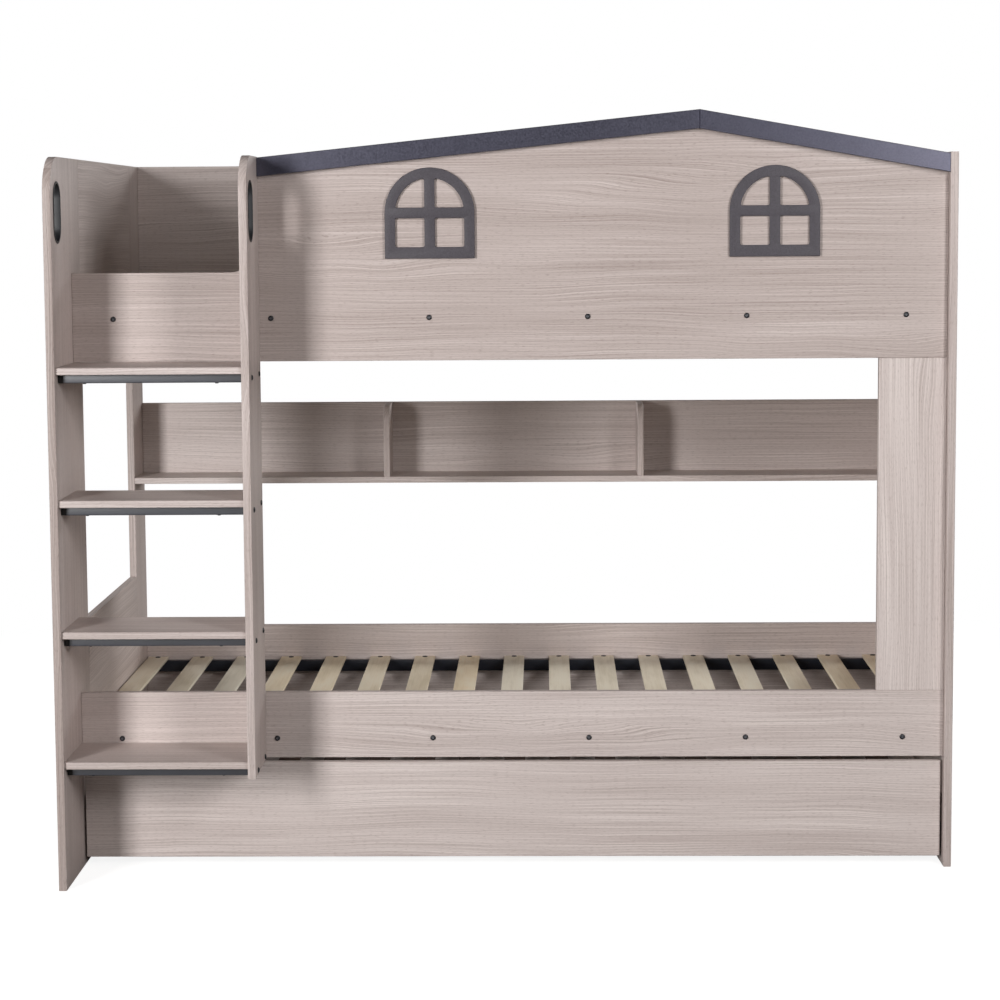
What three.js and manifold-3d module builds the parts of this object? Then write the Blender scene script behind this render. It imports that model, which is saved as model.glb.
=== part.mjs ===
// Bunk bed with a trundle, millimetres, +Z up, the front towards -Y.
// Inside the bed group X runs from the ladder end's inner face, Y from the front rail's face
// and Z from the floor. The bed group then brings the middle of the footprint to the origin.
import * as THREE from 'three';
import { mergeVertices } from 'three/addons/utils/BufferGeometryUtils.js';
import Module from 'manifold-3d';

const wasm = await Module();
wasm.setup();

// Overall sizes: the clear length takes a 2000 mm mattress, the clear depth a 900 mm one.
const INNER_LENGTH = 2010;
const BED_DEPTH = 946;
const BED_HEIGHT = 1654;
const BOARD = 18;
const THIN_BOARD = 16;
const GAP = 0.3;
const EASE = 1;
const CUT_OVERRUN = 1;

// Frame levels and widths.
const LEG_DEPTH = 110;
const REAR_POST_WIDTH = 155;
const FRONT_POST_WIDTH = 156;
const RAIL_LOW = 258;
const RAIL_TOP = 413;
const REAR_RAIL_LOW = 178;
const GUARD_LOW = 1186;
const ENTRY_TOP = 1391;
const END_PANEL_TOP = 568;
const RIGHT_PANEL_FRONT = -20;

// Ladder: two sides, four steps, each step on two square tubes.
const LADDER_DEPTH = 215;
const STEP_LENGTH = 415;
const STEP_SETBACK = 8;
const STEP_COUNT = 4;
const LOW_STEP_TOP = 294;
const STEP_PITCH = (GUARD_LOW - LOW_STEP_TOP) / (STEP_COUNT - 1);
const STEP_NOSE = 4;
const TUBE = 20;
const TUBE_WALL = 1.5;
const TUBE_CORNER = 2;
const PLUG_LENGTH = 12;
const PLUG_SLIT = 0.6;
const TUBE_FRONT_Y = -170;
const TUBE_REAR_Y = -35;
const TOP_CORNER = 85;
const STILE_LOW = 257;

// Oval hand grip in both ladder sides, with its lining ring.
const GRIP_Y = -146.5;
const GRIP_Z = 1530;
const GRIP_WIDTH = 78;
const GRIP_HEIGHT = 139;
const GRIP_LIP = 3;
const GRIP_LIP_T = 1.5;
const GRIP_WALL = 2.4;
const GRIP_SEGMENTS = 5;

// Gable of the front guard and the roof trim on it.
const NOTCH_X = 409;
const NOTCH_RADIUS = 40;
const RIDGE_X = 1442;
const RIDGE_Z = 1753.5;
const EAVE_LEFT_Z = 1652;
const EAVE_RIGHT_Z = 1651;
const TRIM_HEIGHT = 43;
const TRIM_THICKNESS = 20;

// Arched window frames on the guard's face.
const WINDOW_CENTRES = { left: 826.5, right: 1614 };
const WINDOW_LOW = 1420;
const WINDOW_HIGH = 1627;
const WINDOW_WIDTH = 206;
const WINDOW_BAR = 24;
const WINDOW_SILL = 26;
const WINDOW_CROSSBAR_Z = 1524;
const WINDOW_THICKNESS = 8;
const PANE_CORNER = 6;

// Shelf along the back of the lower bunk.
const SHELF_TOP = 832;
const SHELF_BACK_TOP = 1020;
const SHELF_FRONT_Y = BED_DEPTH - REAR_POST_WIDTH;
const DIVIDER_CORNER = 40;

// Slatted bases: steel bearers bolted to the rails, slats pinned on top.
const BEARER_HEIGHT = 30;
const BEARER_DEPTH = 20;
const SLAT_COUNT = 17;
const SLAT_WIDTH = 54.5;
const SLAT_THICKNESS = 8;
const SLAT_CORNER = 2;
const SLAT_FIRST = 5;
const SLAT_PITCH = 121.2;
const SLAT_END_GAP = 3;
const LOWER_BOLT_Z = 304;
const UPPER_BOLT_Z = 1285;
const BOLT_COUNT = 6;
const BOLT_FIRST = 95;
const BOLT_PITCH = 364;
const PIN_INSET = 9;
const PIN_RADIUS = 3;
const PIN_HEAD_RADIUS = 5.5;
const PIN_HEAD = 1.6;
const PIN_HEAD_SUNK = 0.2;
const PIN_BITE = 4;
const PIN_SIDES = 4;
const PIN_HEAD_SIDES = 6;

// Button head bolts.
const BOLT_RADIUS = 3;
const BOLT_HOLE = 3.6;
const HEAD_RADIUS = 5.75;
const HEAD_HEIGHT = 3.2;
const SHANK_IN_HEAD = 1;
const SHANK_SIDES = 6;
const HOLE_SIDES = 8;
const HEAD_SIDES = 8;
const BOLT_BITE = 5;

// Trundle: a low box on four fixed wheels that rolls out to the front.
const TRUNDLE_SIDE_GAP = 5.5;
const TRUNDLE_LOW = 21;
const TRUNDLE_HIGH = 247;
const TRUNDLE_DEPTH = 940;
const BOX_INSET = 8;
const BOX_LOW = 30;
const BOX_HIGH = 170;
const TRUNDLE_BEARER_LOW = 68;
const TRUNDLE_SLAT_FIRST = 34;
const TRUNDLE_SLAT_PITCH = 118;
const WHEEL_RADIUS = 25;
const WHEEL_WIDTH = 20;
const WHEEL_BORE = 3.1;
const HUB_RADIUS = 8;
const WEB_RADIUS = 9;
const WEB_SUNK = 5;
const TYRE_INNER_RADIUS = 18;
const TYRE_SUNK = 1;
const TYRE_SHOULDER = 2;
const TYRE_CROWN_SUNK = 4;
const WHEEL_INSET_Y = 100;
const AXLE_RADIUS = 3;
const HOUSING_RADIUS = 32;
const HOUSING_WIDTH = 32;
const HOUSING_WALL = 4;
const HOUSING_LOW = 10;
const HOUSING_ARCH_LIFT = 4;
const ARCH_SEGMENTS = 5;
const AXLE_SIDES = 16;

const bed = new THREE.Group();
bed.name = 'bunk_bed';

const FINISHES = {
  board: { color: 0xcbc0ba, roughness: 0.55, metalness: 0 },
  trim: { color: 0x5a5c61, roughness: 0.7, metalness: 0 },
  steel: { color: 0x55585e, roughness: 0.45, metalness: 0.6 },
  slat: { color: 0xb9ae97, roughness: 0.6, metalness: 0 },
  plastic: { color: 0x17181a, roughness: 0.3, metalness: 0 },
};

function toSolid(geometry) {
  const bare = new THREE.BufferGeometry();
  bare.setAttribute('position', geometry.getAttribute('position').clone());
  if (geometry.index) bare.setIndex(geometry.index.clone());
  const merged = mergeVertices(bare, 1e-4);
  return new wasm.Manifold(new wasm.Mesh({
    numProp: 3,
    vertProperties: new Float32Array(merged.getAttribute('position').array),
    triVerts: new Uint32Array(merged.index.array),
  }));
}

function toGeometry(solid) {
  const mesh = solid.getMesh();
  const geometry = new THREE.BufferGeometry();
  geometry.setAttribute('position', new THREE.BufferAttribute(new Float32Array(mesh.vertProperties), 3));
  geometry.setIndex(new THREE.BufferAttribute(new Uint32Array(mesh.triVerts), 1));
  geometry.computeVertexNormals();
  return geometry;
}

function drill(geometry, cutters) {
  let solid = toSolid(geometry);
  for (const cutter of cutters) {
    solid = solid.subtract(toSolid(cutter));
  }
  return toGeometry(solid);
}

function fuse(geometries) {
  let solid = toSolid(geometries[0]);
  for (const geometry of geometries.slice(1)) {
    solid = solid.add(toSolid(geometry));
  }
  return toGeometry(solid);
}

function place(parent, name, finish, geometry, x = 0, y = 0, z = 0) {
  const mesh = new THREE.Mesh(geometry, new THREE.MeshStandardMaterial(FINISHES[finish]));
  mesh.name = name;
  mesh.position.set(x, y, z);
  parent.add(mesh);
  return mesh;
}

// A sheet outline cut to thickness with eased edges, lying in its own XY plane from z = 0 up.
function cutSheet(shape, thickness, ease = EASE, segments = 8) {
  const geometry = new THREE.ExtrudeGeometry(shape, {
    depth: thickness - 2 * ease,
    bevelEnabled: ease > 0,
    bevelThickness: ease,
    bevelSize: ease,
    bevelOffset: -ease,
    bevelSegments: 1,
    curveSegments: segments,
  });
  return geometry.translate(0, 0, ease);
}

// Turns a flat sheet upright: facing the front (outline in X and Z, thickness back from y = 0).
function faceFront(geometry, thickness) {
  return geometry.rotateX(Math.PI / 2).translate(0, thickness, 0);
}

// Turns a flat sheet upright as an end of the bed (outline in Y and Z, thickness along +X).
function faceEnd(geometry) {
  const turn = new THREE.Matrix4().makeBasis(
    new THREE.Vector3(0, 1, 0),
    new THREE.Vector3(0, 0, 1),
    new THREE.Vector3(1, 0, 0),
  );
  return geometry.applyMatrix4(turn);
}

function rectangle(width, height, radius = 0) {
  const shape = new THREE.Shape();
  if (radius === 0) {
    shape.moveTo(0, 0);
    shape.lineTo(width, 0);
    shape.lineTo(width, height);
    shape.lineTo(0, height);
    shape.closePath();
    return shape;
  }
  shape.absarc(width - radius, radius, radius, -Math.PI / 2, 0, false);
  shape.absarc(width - radius, height - radius, radius, 0, Math.PI / 2, false);
  shape.absarc(radius, height - radius, radius, Math.PI / 2, Math.PI, false);
  shape.absarc(radius, radius, radius, Math.PI, 1.5 * Math.PI, false);
  shape.closePath();
  return shape;
}

// A rod along X, Y or Z, starting at the given point.
function rod(axis, radius, length, x, y, z, sides = SHANK_SIDES) {
  const geometry = new THREE.CylinderGeometry(radius, radius, length, sides).translate(0, length / 2, 0);
  if (axis === 'x') geometry.rotateZ(-Math.PI / 2);
  if (axis === 'z') geometry.rotateX(Math.PI / 2);
  return geometry.translate(x, y, z);
}

// Low domed head turned on a lathe, its seat at the origin and its crown along +Y.
function buttonHead(radius, height) {
  const profile = [
    new THREE.Vector2(0, 0),
    new THREE.Vector2(radius, 0),
    new THREE.Vector2(radius * 0.8, height),
    new THREE.Vector2(0, height),
  ];
  return new THREE.LatheGeometry(profile, HEAD_SIDES);
}

// Stadium outline of the hand grip, grown or shrunk by an offset.
function gripOutline(offset) {
  const radius = GRIP_WIDTH / 2 + offset;
  const half = GRIP_HEIGHT / 2 - GRIP_WIDTH / 2;
  const shape = new THREE.Shape();
  shape.absarc(GRIP_Y, GRIP_Z + half, radius, 0, Math.PI, false);
  shape.absarc(GRIP_Y, GRIP_Z - half, radius, Math.PI, 2 * Math.PI, false);
  shape.closePath();
  return shape;
}

function stepTop(index) {
  return LOW_STEP_TOP + index * STEP_PITCH;
}

function tubeCentre(index) {
  return stepTop(index) - THIN_BOARD - GAP - TUBE / 2;
}

// Cutters for the bolts of all step tubes, across a ladder side that starts at x = 0.
function ladderBoltHoles() {
  const cutters = [];
  for (let i = 0; i < STEP_COUNT; i += 1) {
    for (const y of [TUBE_FRONT_Y, TUBE_REAR_Y]) {
      cutters.push(rod('x', BOLT_HOLE, BOARD + 2 * CUT_OVERRUN, -CUT_OVERRUN, y, tubeCentre(i), HOLE_SIDES));
    }
  }
  return cutters;
}

// Ladder side outline in Y and Z with the big rounding at its top front corner.
function ladderSideOutline(rearY, lowZ) {
  const shape = new THREE.Shape();
  shape.moveTo(-LADDER_DEPTH, lowZ);
  shape.lineTo(rearY, lowZ);
  shape.lineTo(rearY, BED_HEIGHT);
  shape.lineTo(TOP_CORNER - LADDER_DEPTH, BED_HEIGHT);
  shape.absarc(TOP_CORNER - LADDER_DEPTH, BED_HEIGHT - TOP_CORNER, TOP_CORNER, Math.PI / 2, Math.PI, false);
  shape.closePath();
  return shape;
}

function gripCutter() {
  const cutter = faceEnd(cutSheet(gripOutline(-GRIP_LIP), BOARD + 2 * CUT_OVERRUN, 0, GRIP_SEGMENTS));
  return cutter.translate(-CUT_OVERRUN, 0, 0);
}

// Ladder end and the other end panels.
const leftEnd = new THREE.Group();
bed.add(leftEnd);
const leftFrontBoard = faceEnd(cutSheet(ladderSideOutline(LEG_DEPTH, 0), BOARD));
place(leftEnd, 'left_front_board', 'board',
  drill(leftFrontBoard, [gripCutter(), ...ladderBoltHoles()]), -BOARD, 0, 0);
place(leftEnd, 'rear_left_post', 'board',
  faceEnd(cutSheet(rectangle(REAR_POST_WIDTH, BED_HEIGHT), BOARD)), -BOARD, SHELF_FRONT_Y, 0);
const endPanelDepth = SHELF_FRONT_Y - LEG_DEPTH - 2 * GAP;
place(leftEnd, 'left_upper_end_panel', 'board',
  faceEnd(cutSheet(rectangle(endPanelDepth, BED_HEIGHT - GUARD_LOW), BOARD)),
  -BOARD, LEG_DEPTH + GAP, GUARD_LOW);
place(leftEnd, 'left_lower_end_panel', 'board',
  faceEnd(cutSheet(rectangle(endPanelDepth, END_PANEL_TOP - RAIL_LOW), BOARD)),
  -BOARD, LEG_DEPTH + GAP, RAIL_LOW);
place(bed, 'right_end_panel', 'board',
  faceEnd(cutSheet(rectangle(BED_DEPTH - RIGHT_PANEL_FRONT, BED_HEIGHT), BOARD)),
  INNER_LENGTH, RIGHT_PANEL_FRONT, 0);

// Front guard: low at the ladder's entry, then up a rounded notch into the gable.
const front = new THREE.Group();
bed.add(front);
const boardLength = INNER_LENGTH - 2 * GAP;
const leftSlope = (RIDGE_Z - EAVE_LEFT_Z) / (RIDGE_X - STEP_LENGTH - BOARD);
const rightSlope = (RIDGE_Z - EAVE_RIGHT_Z) / (INNER_LENGTH - RIDGE_X);

function roofHeight(x) {
  const slope = x < RIDGE_X ? leftSlope : rightSlope;
  return RIDGE_Z - slope * Math.abs(x - RIDGE_X);
}

function guardOutline() {
  const shape = new THREE.Shape();
  shape.moveTo(GAP, GUARD_LOW);
  shape.lineTo(INNER_LENGTH - GAP, GUARD_LOW);
  shape.lineTo(INNER_LENGTH - GAP, roofHeight(INNER_LENGTH - GAP));
  shape.lineTo(RIDGE_X, RIDGE_Z);
  shape.lineTo(NOTCH_X, roofHeight(NOTCH_X));
  shape.lineTo(NOTCH_X, ENTRY_TOP + NOTCH_RADIUS);
  shape.absarc(NOTCH_X - NOTCH_RADIUS, ENTRY_TOP + NOTCH_RADIUS, NOTCH_RADIUS, 0, -Math.PI / 2, true);
  shape.lineTo(GAP, ENTRY_TOP);
  shape.closePath();
  return shape;
}

function railBoltHoles(z) {
  const cutters = [];
  for (let i = 0; i < BOLT_COUNT; i += 1) {
    const x = BOLT_FIRST + i * BOLT_PITCH;
    cutters.push(rod('y', BOLT_HOLE, BOARD + 2 * CUT_OVERRUN, x, -CUT_OVERRUN, z, HOLE_SIDES));
  }
  return cutters;
}

place(front, 'front_guard', 'board',
  drill(faceFront(cutSheet(guardOutline(), BOARD), BOARD), railBoltHoles(UPPER_BOLT_Z)));

// Roof trim: two boards under the gable's edge, mitred at the ridge.
function trimOutline(lowX, highX) {
  const shape = new THREE.Shape();
  shape.moveTo(lowX, roofHeight(lowX) - TRIM_HEIGHT);
  shape.lineTo(highX, roofHeight(highX) - TRIM_HEIGHT);
  shape.lineTo(highX, roofHeight(highX));
  shape.lineTo(lowX, roofHeight(lowX));
  shape.closePath();
  return shape;
}

const trimDepth = TRIM_THICKNESS - GAP;
place(front, 'roof_trim_left', 'trim',
  faceFront(cutSheet(trimOutline(STEP_LENGTH + BOARD + GAP, RIDGE_X - GAP / 2), trimDepth), trimDepth),
  0, -TRIM_THICKNESS, 0);
place(front, 'roof_trim_right', 'trim',
  faceFront(cutSheet(trimOutline(RIDGE_X + GAP / 2, INNER_LENGTH - GAP), trimDepth), trimDepth),
  0, -TRIM_THICKNESS, 0);

// Window frame: arched outline, two quarter-round panes over two panes with soft lower corners.
function windowOutline() {
  const half = WINDOW_WIDTH / 2;
  const springZ = WINDOW_HIGH - half;
  const outline = new THREE.Shape();
  outline.moveTo(-half, WINDOW_LOW);
  outline.lineTo(half, WINDOW_LOW);
  outline.absarc(0, springZ, half, 0, Math.PI, false);
  outline.closePath();
  const inner = half - WINDOW_BAR;
  const barHalf = WINDOW_BAR / 2;
  const paneLow = WINDOW_CROSSBAR_Z + barHalf;
  const lift = paneLow - springZ;
  const startAngle = Math.asin(lift / inner);
  const stopAngle = Math.acos(barHalf / inner);
  for (const side of [1, -1]) {
    const upper = new THREE.Path();
    upper.moveTo(side * barHalf, paneLow);
    upper.lineTo(side * inner * Math.cos(startAngle), paneLow);
    if (side > 0) {
      upper.absarc(0, springZ, inner, startAngle, stopAngle, false);
    } else {
      upper.absarc(0, springZ, inner, Math.PI - startAngle, Math.PI - stopAngle, true);
    }
    upper.closePath();
    outline.holes.push(upper);
    const low = WINDOW_LOW + WINDOW_SILL;
    const high = WINDOW_CROSSBAR_Z - barHalf;
    const lower = new THREE.Path();
    lower.moveTo(side * barHalf, high);
    lower.lineTo(side * barHalf, low + PANE_CORNER);
    lower.quadraticCurveTo(side * barHalf, low, side * (barHalf + PANE_CORNER), low);
    lower.lineTo(side * (inner - PANE_CORNER), low);
    lower.quadraticCurveTo(side * inner, low, side * inner, low + PANE_CORNER);
    lower.lineTo(side * inner, high);
    lower.closePath();
    outline.holes.push(lower);
  }
  return outline;
}

const windowDepth = WINDOW_THICKNESS - GAP;
for (const side of ['left', 'right']) {
  place(front, `window_frame_${side}`, 'trim',
    faceFront(cutSheet(windowOutline(), windowDepth, 0, 8), windowDepth),
    WINDOW_CENTRES[side], -WINDOW_THICKNESS, 0);
}

place(front, 'right_front_post', 'board',
  faceFront(cutSheet(rectangle(FRONT_POST_WIDTH - GAP, GUARD_LOW - RAIL_TOP - 2 * GAP), BOARD), BOARD),
  INNER_LENGTH - FRONT_POST_WIDTH, 0, RAIL_TOP + GAP);

// A long board between the ends, from its low to its high edge, drilled for a row of bolts.
function longBoard(lowZ, highZ, boltZ) {
  const board = faceFront(cutSheet(rectangle(boardLength, highZ - lowZ), BOARD), BOARD)
    .translate(GAP, 0, lowZ);
  return drill(board, railBoltHoles(boltZ));
}

place(front, 'front_rail', 'board', longBoard(RAIL_LOW, RAIL_TOP, LOWER_BOLT_Z));

// Rear guard and the deeper rear rail, flush with the back of the end boards.
const rear = new THREE.Group();
rear.position.set(0, BED_DEPTH - BOARD, 0);
bed.add(rear);
place(rear, 'rear_guard', 'board', longBoard(GUARD_LOW, BED_HEIGHT, UPPER_BOLT_Z));
place(rear, 'rear_rail', 'board', longBoard(REAR_RAIL_LOW, RAIL_TOP, LOWER_BOLT_Z));

// Shelf: back board, bottom board and two dividers with a rounded top front corner.
const shelf = new THREE.Group();
bed.add(shelf);
const shelfBackY = BED_DEPTH - THIN_BOARD;
const shelfDepth = shelfBackY - GAP - SHELF_FRONT_Y;
const shelfBackHeight = SHELF_BACK_TOP - SHELF_TOP + THIN_BOARD;
place(shelf, 'shelf_back', 'board',
  faceFront(cutSheet(rectangle(boardLength, shelfBackHeight), THIN_BOARD), THIN_BOARD),
  GAP, shelfBackY, SHELF_TOP - THIN_BOARD);
place(shelf, 'shelf_bottom', 'board',
  cutSheet(rectangle(boardLength, shelfDepth), THIN_BOARD), GAP, SHELF_FRONT_Y, SHELF_TOP - THIN_BOARD);

function dividerOutline() {
  const height = SHELF_BACK_TOP - SHELF_TOP - GAP;
  const shape = new THREE.Shape();
  shape.moveTo(0, 0);
  shape.lineTo(shelfDepth, 0);
  shape.lineTo(shelfDepth, height);
  shape.lineTo(DIVIDER_CORNER, height);
  shape.absarc(DIVIDER_CORNER, height - DIVIDER_CORNER, DIVIDER_CORNER, Math.PI / 2, Math.PI, false);
  shape.closePath();
  return shape;
}

for (const [index, side] of ['left', 'right'].entries()) {
  const centre = (INNER_LENGTH * (index + 1)) / 3;
  place(shelf, `shelf_divider_${side}`, 'board', faceEnd(cutSheet(dividerOutline(), THIN_BOARD)),
    centre - THIN_BOARD / 2, SHELF_FRONT_Y, SHELF_TOP + GAP);
}

// Ladder: right side, steps, tubes with a bolt out of each end, and the two grip linings.
const ladder = new THREE.Group();
bed.add(ladder);
const stile = faceEnd(cutSheet(ladderSideOutline(-GAP, STILE_LOW), BOARD));
place(ladder, 'ladder_stile_right', 'board',
  drill(stile, [gripCutter(), ...ladderBoltHoles()]), STEP_LENGTH, 0, 0);

const stepDepth = LADDER_DEPTH - STEP_SETBACK - GAP;
const stepLength = STEP_LENGTH - 2 * GAP;

// Step board in section (Y and Z), its top front nose rounded, run along the ladder's width.
function stepSection() {
  const shape = new THREE.Shape();
  shape.moveTo(EASE, 0);
  shape.lineTo(stepDepth, 0);
  shape.lineTo(stepDepth, THIN_BOARD);
  shape.lineTo(STEP_NOSE, THIN_BOARD);
  shape.quadraticCurveTo(0, THIN_BOARD, 0, THIN_BOARD - STEP_NOSE);
  shape.lineTo(0, EASE);
  shape.closePath();
  return shape;
}

function stepBoard() {
  const options = { depth: stepLength, bevelEnabled: false, curveSegments: 4 };
  return faceEnd(new THREE.ExtrudeGeometry(stepSection(), options));
}

// Square tube along X with clipped corners, its wall all round and both ends open.
function squareTube(length, width, height) {
  const outer = new THREE.Shape();
  outer.moveTo(TUBE_CORNER, 0);
  outer.lineTo(width - TUBE_CORNER, 0);
  outer.lineTo(width, TUBE_CORNER);
  outer.lineTo(width, height - TUBE_CORNER);
  outer.lineTo(width - TUBE_CORNER, height);
  outer.lineTo(TUBE_CORNER, height);
  outer.lineTo(0, height - TUBE_CORNER);
  outer.lineTo(0, TUBE_CORNER);
  outer.closePath();
  const bore = rectangle(width - 2 * TUBE_WALL, height - 2 * TUBE_WALL).getPoints(1);
  outer.holes.push(new THREE.Path(bore.map((p) => new THREE.Vector2(p.x + TUBE_WALL, p.y + TUBE_WALL))));
  const geometry = new THREE.ExtrudeGeometry(outer, { depth: length, bevelEnabled: false });
  return faceEnd(geometry).translate(0, -width / 2, -height / 2);
}

// Step tube: a plug in each end, gripped above and below, takes a bolt through the ladder side.
function stepTube() {
  const cavity = TUBE - 2 * TUBE_WALL;
  const pieces = [squareTube(stepLength, TUBE, TUBE).translate(GAP, 0, 0)];
  for (const end of [0, 1]) {
    const plugX = end ? STEP_LENGTH - GAP - PLUG_LENGTH : GAP;
    const plug = new THREE.BoxGeometry(PLUG_LENGTH, cavity - 2 * PLUG_SLIT, cavity + TUBE_WALL)
      .translate(plugX + PLUG_LENGTH / 2, 0, 0);
    const reach = BOARD + GAP + BOLT_BITE + SHANK_IN_HEAD;
    const shankX = end ? STEP_LENGTH - BOLT_BITE : -BOARD - GAP - SHANK_IN_HEAD;
    const shank = rod('x', BOLT_RADIUS, reach, shankX, 0, 0);
    const head = buttonHead(HEAD_RADIUS, HEAD_HEIGHT).rotateZ(end ? -Math.PI / 2 : Math.PI / 2)
      .translate(end ? STEP_LENGTH + BOARD + GAP : -BOARD - GAP, 0, 0);
    pieces.push(plug, shank, head);
  }
  return fuse(pieces);
}

const tubeGeometry = stepTube();
for (let i = 0; i < STEP_COUNT; i += 1) {
  const number = STEP_COUNT - i;
  place(ladder, `step_${number}`, 'board',
    stepBoard(), GAP, STEP_SETBACK - LADDER_DEPTH, stepTop(i) - THIN_BOARD);
  place(ladder, `step_${number}_front_tube`, 'steel', tubeGeometry.clone(), 0, TUBE_FRONT_Y, tubeCentre(i));
  place(ladder, `step_${number}_rear_tube`, 'steel', tubeGeometry.clone(), 0, TUBE_REAR_Y, tubeCentre(i));
}

// Grip lining: a ring through the board with a flat lip on the face towards +X.
function gripLining() {
  const lip = gripOutline(0);
  const sleeve = gripOutline(-GRIP_LIP - GAP);
  const bore = gripOutline(-GRIP_LIP - GAP - GRIP_WALL).getPoints(GRIP_SEGMENTS);
  lip.holes.push(new THREE.Path(bore));
  sleeve.holes.push(new THREE.Path(bore));
  const lipPlate = faceEnd(cutSheet(lip, GRIP_LIP_T, 0, GRIP_SEGMENTS)).translate(BOARD + GAP, 0, 0);
  const ring = faceEnd(cutSheet(sleeve, BOARD + GAP + GRIP_LIP_T / 2, 0, GRIP_SEGMENTS));
  return fuse([ring, lipPlate]);
}

place(leftEnd, 'left_grip_lining', 'plastic', gripLining(), -BOARD, 0, 0);
place(ladder, 'right_grip_lining', 'plastic', gripLining(), STEP_LENGTH, 0, 0);

// One slat across the bed in section X and Z, its top edges taken off, run along Y.
function slat(length) {
  const section = new THREE.Shape();
  section.moveTo(0, 0);
  section.lineTo(SLAT_WIDTH, 0);
  section.lineTo(SLAT_WIDTH, SLAT_THICKNESS - SLAT_CORNER);
  section.lineTo(SLAT_WIDTH - SLAT_CORNER, SLAT_THICKNESS);
  section.lineTo(SLAT_CORNER, SLAT_THICKNESS);
  section.lineTo(0, SLAT_THICKNESS - SLAT_CORNER);
  section.closePath();
  const geometry = new THREE.ExtrudeGeometry(section, { depth: length, bevelEnabled: false });
  return geometry.rotateX(Math.PI / 2).translate(0, length, 0);
}

// Bearer along the front, its face at y = 0 and centred on z = 0, with bolts out to the front.
function bearer(startX, endX, bolts) {
  const tube = squareTube(endX - startX, BEARER_DEPTH, BEARER_HEIGHT)
    .translate(startX, BEARER_DEPTH / 2, 0);
  if (!bolts) return [tube];
  const pieces = [tube];
  for (let i = 0; i < BOLT_COUNT; i += 1) {
    const x = BOLT_FIRST + i * BOLT_PITCH;
    const face = -BOARD - 2 * GAP;
    const reach = BOARD + 2 * GAP + SHANK_IN_HEAD + BOLT_BITE;
    pieces.push(rod('y', BOLT_RADIUS, reach, x, face - SHANK_IN_HEAD, 0));
    pieces.push(buttonHead(HEAD_RADIUS, HEAD_HEIGHT).rotateX(Math.PI).translate(x, face, 0));
  }
  return pieces;
}

// Slats along a rear bearer (mirrored front to back), each pinned through into the bearer.
function pinnedSlats(startX, endX, bolts, firstX, pitch, length) {
  const pieces = bearer(startX, endX, bolts).map((g) => g.rotateZ(Math.PI).translate(startX + endX, 0, 0));
  const under = BEARER_HEIGHT / 2 + GAP;
  for (let i = 0; i < SLAT_COUNT; i += 1) {
    const x = firstX + i * pitch;
    const centre = x + SLAT_WIDTH / 2;
    pieces.push(slat(length).translate(x, -length - SLAT_END_GAP, under));
    const pinY = -SLAT_END_GAP - PIN_INSET;
    pieces.push(rod('z', PIN_RADIUS, PIN_BITE + GAP + SLAT_THICKNESS, centre, pinY,
      under - PIN_BITE - GAP, PIN_SIDES));
    pieces.push(rod('z', PIN_HEAD_RADIUS, PIN_HEAD + PIN_HEAD_SUNK, centre, pinY,
      under + SLAT_THICKNESS - PIN_HEAD_SUNK, PIN_HEAD_SIDES));
  }
  return fuse(pieces);
}

// Both fixed decks: bearers between the end boards, slats across.
const deckDepth = BED_DEPTH - 2 * BOARD - 2 * GAP;
const slatLength = deckDepth - 2 * SLAT_END_GAP;
for (const [level, z] of [['lower', LOWER_BOLT_Z], ['upper', UPPER_BOLT_Z]]) {
  place(bed, `${level}_front_bearer`, 'steel',
    fuse(bearer(GAP, INNER_LENGTH - GAP, true)), 0, BOARD + GAP, z);
  place(bed, `${level}_slats_on_rear_bearer`, 'slat',
    pinnedSlats(GAP, INNER_LENGTH - GAP, true, SLAT_FIRST, SLAT_PITCH, slatLength),
    0, BED_DEPTH - BOARD - GAP, z);
}

// Trundle box: face board, two sides and a rear board, slats low inside it.
const trundle = new THREE.Group();
bed.add(trundle);
const trundleLength = INNER_LENGTH - 2 * TRUNDLE_SIDE_GAP;
const boxLength = INNER_LENGTH - 2 * BOX_INSET;
const sideDepth = TRUNDLE_DEPTH - BOARD - THIN_BOARD - 2 * GAP;
place(trundle, 'trundle_front', 'board',
  faceFront(cutSheet(rectangle(trundleLength, TRUNDLE_HIGH - TRUNDLE_LOW), BOARD), BOARD),
  TRUNDLE_SIDE_GAP, 0, TRUNDLE_LOW);
place(trundle, 'trundle_rear', 'board',
  faceFront(cutSheet(rectangle(boxLength, BOX_HIGH - BOX_LOW), THIN_BOARD), THIN_BOARD),
  BOX_INSET, TRUNDLE_DEPTH - THIN_BOARD, BOX_LOW);
for (const [side, x] of [['left', BOX_INSET], ['right', INNER_LENGTH - BOX_INSET - THIN_BOARD]]) {
  place(trundle, `trundle_${side}_side`, 'board',
    faceEnd(cutSheet(rectangle(sideDepth, BOX_HIGH - BOX_LOW), THIN_BOARD)), x, BOARD + GAP, BOX_LOW);
}
const trundleBearerStart = BOX_INSET + THIN_BOARD + GAP;
const trundleBearerEnd = INNER_LENGTH - trundleBearerStart;
const trundleBearerZ = TRUNDLE_BEARER_LOW + BEARER_HEIGHT / 2;
place(trundle, 'trundle_front_bearer', 'steel', fuse(bearer(trundleBearerStart, trundleBearerEnd, false)),
  0, BOARD + GAP, trundleBearerZ);
place(trundle, 'trundle_slats_on_rear_bearer', 'slat',
  pinnedSlats(trundleBearerStart, trundleBearerEnd, false, TRUNDLE_SLAT_FIRST, TRUNDLE_SLAT_PITCH,
    sideDepth - 2 * SLAT_END_GAP),
  0, TRUNDLE_DEPTH - THIN_BOARD - GAP, trundleBearerZ);

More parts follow.
